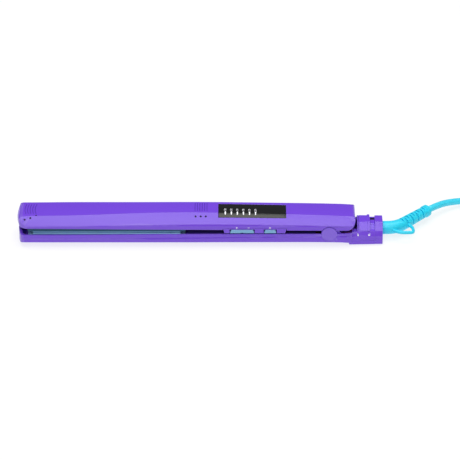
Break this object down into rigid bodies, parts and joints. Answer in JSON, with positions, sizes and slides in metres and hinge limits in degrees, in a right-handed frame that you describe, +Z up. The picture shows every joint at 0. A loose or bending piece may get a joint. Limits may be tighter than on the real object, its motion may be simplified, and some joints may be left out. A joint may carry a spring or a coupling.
{
  "type": "flat iron",
  "caption": "Slim hair straightener with two faceted hinged arms, floating heating plates, display window, side buttons, sliding arm lock and swivel mains cord.",
  "frame": {"origin": "on the surface the iron lies on, under the middle of its length, without the cord", "axes": "+X along the arms towards the cord, +Y away from the button side, +Z up out of the display"},
  "size_m": [0.577, 0.0773, 0.026],
  "materials": {
    "shell_purple": "satin moulded plastic",
    "cap_purple": "satin moulded plastic",
    "inner_purple": "fine spark texture",
    "dark_nylon": "moulded nylon",
    "window_black": "high gloss",
    "circuit_board": "solder mask",
    "light_white": "clear",
    "button_blue": "satin",
    "plate_titanium": "coated, polished",
    "heater_ceramic": "fired",
    "lead_insulation": "silicone sleeve",
    "fuse_metal": "plain",
    "silicone": "soft silicone",
    "screw_steel": "zinc plated",
    "cord_turquoise": "satin PVC",
    "tie_fabric": "hook and loop tape",
    "plug_brass": "nickel plated"
  },
  "bodies": {
    "root": {"lower_shell": "shell_purple", "tail_cover": "shell_purple", "end_collar": "shell_purple", "pivot_caps": "cap_purple", "lower_inner_cover": "inner_purple", "lower_plate_carrier": "dark_nylon", "thermal_fuse": "fuse_metal", "supply_leads": "lead_insulation", "lower_plate_cushions": "silicone", "lower_cover_screws": "screw_steel", "hinge_pin": "screw_steel", "opening_spring": "screw_steel", "contact_block": "dark_nylon", "cord": "cord_turquoise", "cord_hank": "cord_turquoise", "hank_tie": "tie_fabric", "plug_body": "cord_turquoise", "plug_pins": "plug_brass"},
    "upper_arm": {"upper_shell": "shell_purple", "display_window": "window_black", "display_board": "circuit_board", "indicator_lights": "light_white", "button_panel": "shell_purple", "button_board": "circuit_board", "button_switches": "dark_nylon", "upper_inner_cover": "inner_purple", "upper_cover_screws": "screw_steel", "alignment_peg": "dark_nylon", "upper_plate_carrier": "dark_nylon", "upper_plate_cushions": "silicone", "heater_leads": "lead_insulation", "hinge_knuckle": "dark_nylon"},
    "upper_plate_float": {"upper_plate": "plate_titanium", "upper_heater": "heater_ceramic", "temperature_sensor": "lead_insulation"},
    "lower_plate_float": {"lower_plate": "plate_titanium", "lower_heater": "heater_ceramic"},
    "temperature_rocker": {"temperature_rocker": "button_blue"},
    "power_button": {"power_button": "button_blue"},
    "lock_slider": {"lock_slider": "shell_purple"},
    "cord_swivel": {"swivel_core": "dark_nylon", "cord_boot": "cord_turquoise"}
  },
  "joints": [
    {"name": "arm_hinge", "type": "hinge", "parent": "root", "child": "upper_arm", "pos_m": [0.096, 0, 0.0114], "axis": [0, 1, 0], "range_deg": [0, 12]},
    {"name": "upper_plate_give", "type": "slide", "parent": "upper_arm", "child": "upper_plate_float", "axis": [0, 0, 1], "range_m": [0, 0.0008], "stiffness_N_per_m": 3000, "springref_m": -0.0005, "deforming": ["upper_plate_cushions"]},
    {"name": "lower_plate_give", "type": "slide", "parent": "root", "child": "lower_plate_float", "axis": [0, 0, -1], "range_m": [0, 0.0008], "stiffness_N_per_m": 3000, "springref_m": -0.0005, "deforming": ["lower_plate_cushions"]},
    {"name": "temperature_rocker_tilt", "type": "hinge", "parent": "upper_arm", "child": "temperature_rocker", "pos_m": [0.0313, -0.0123, 0.014], "axis": [0, 0, 1], "range_deg": [-3, 3], "stiffness_Nm_per_rad": 0.05},
    {"name": "power_button_press", "type": "slide", "parent": "upper_arm", "child": "power_button", "axis": [0, 1, 0], "range_m": [0, 0.0008], "stiffness_N_per_m": 300, "springref_m": -0.001},
    {"name": "lock_slide", "type": "slide", "parent": "root", "child": "lock_slider", "axis": [1, 0, 0], "range_m": [0, 0.0035]},
    {"name": "cord_swivel_turn", "type": "hinge", "parent": "root", "child": "cord_swivel", "pos_m": [0.132, 0, 0.0082], "axis": [1, 0, 0], "continuous": true}
  ]
}
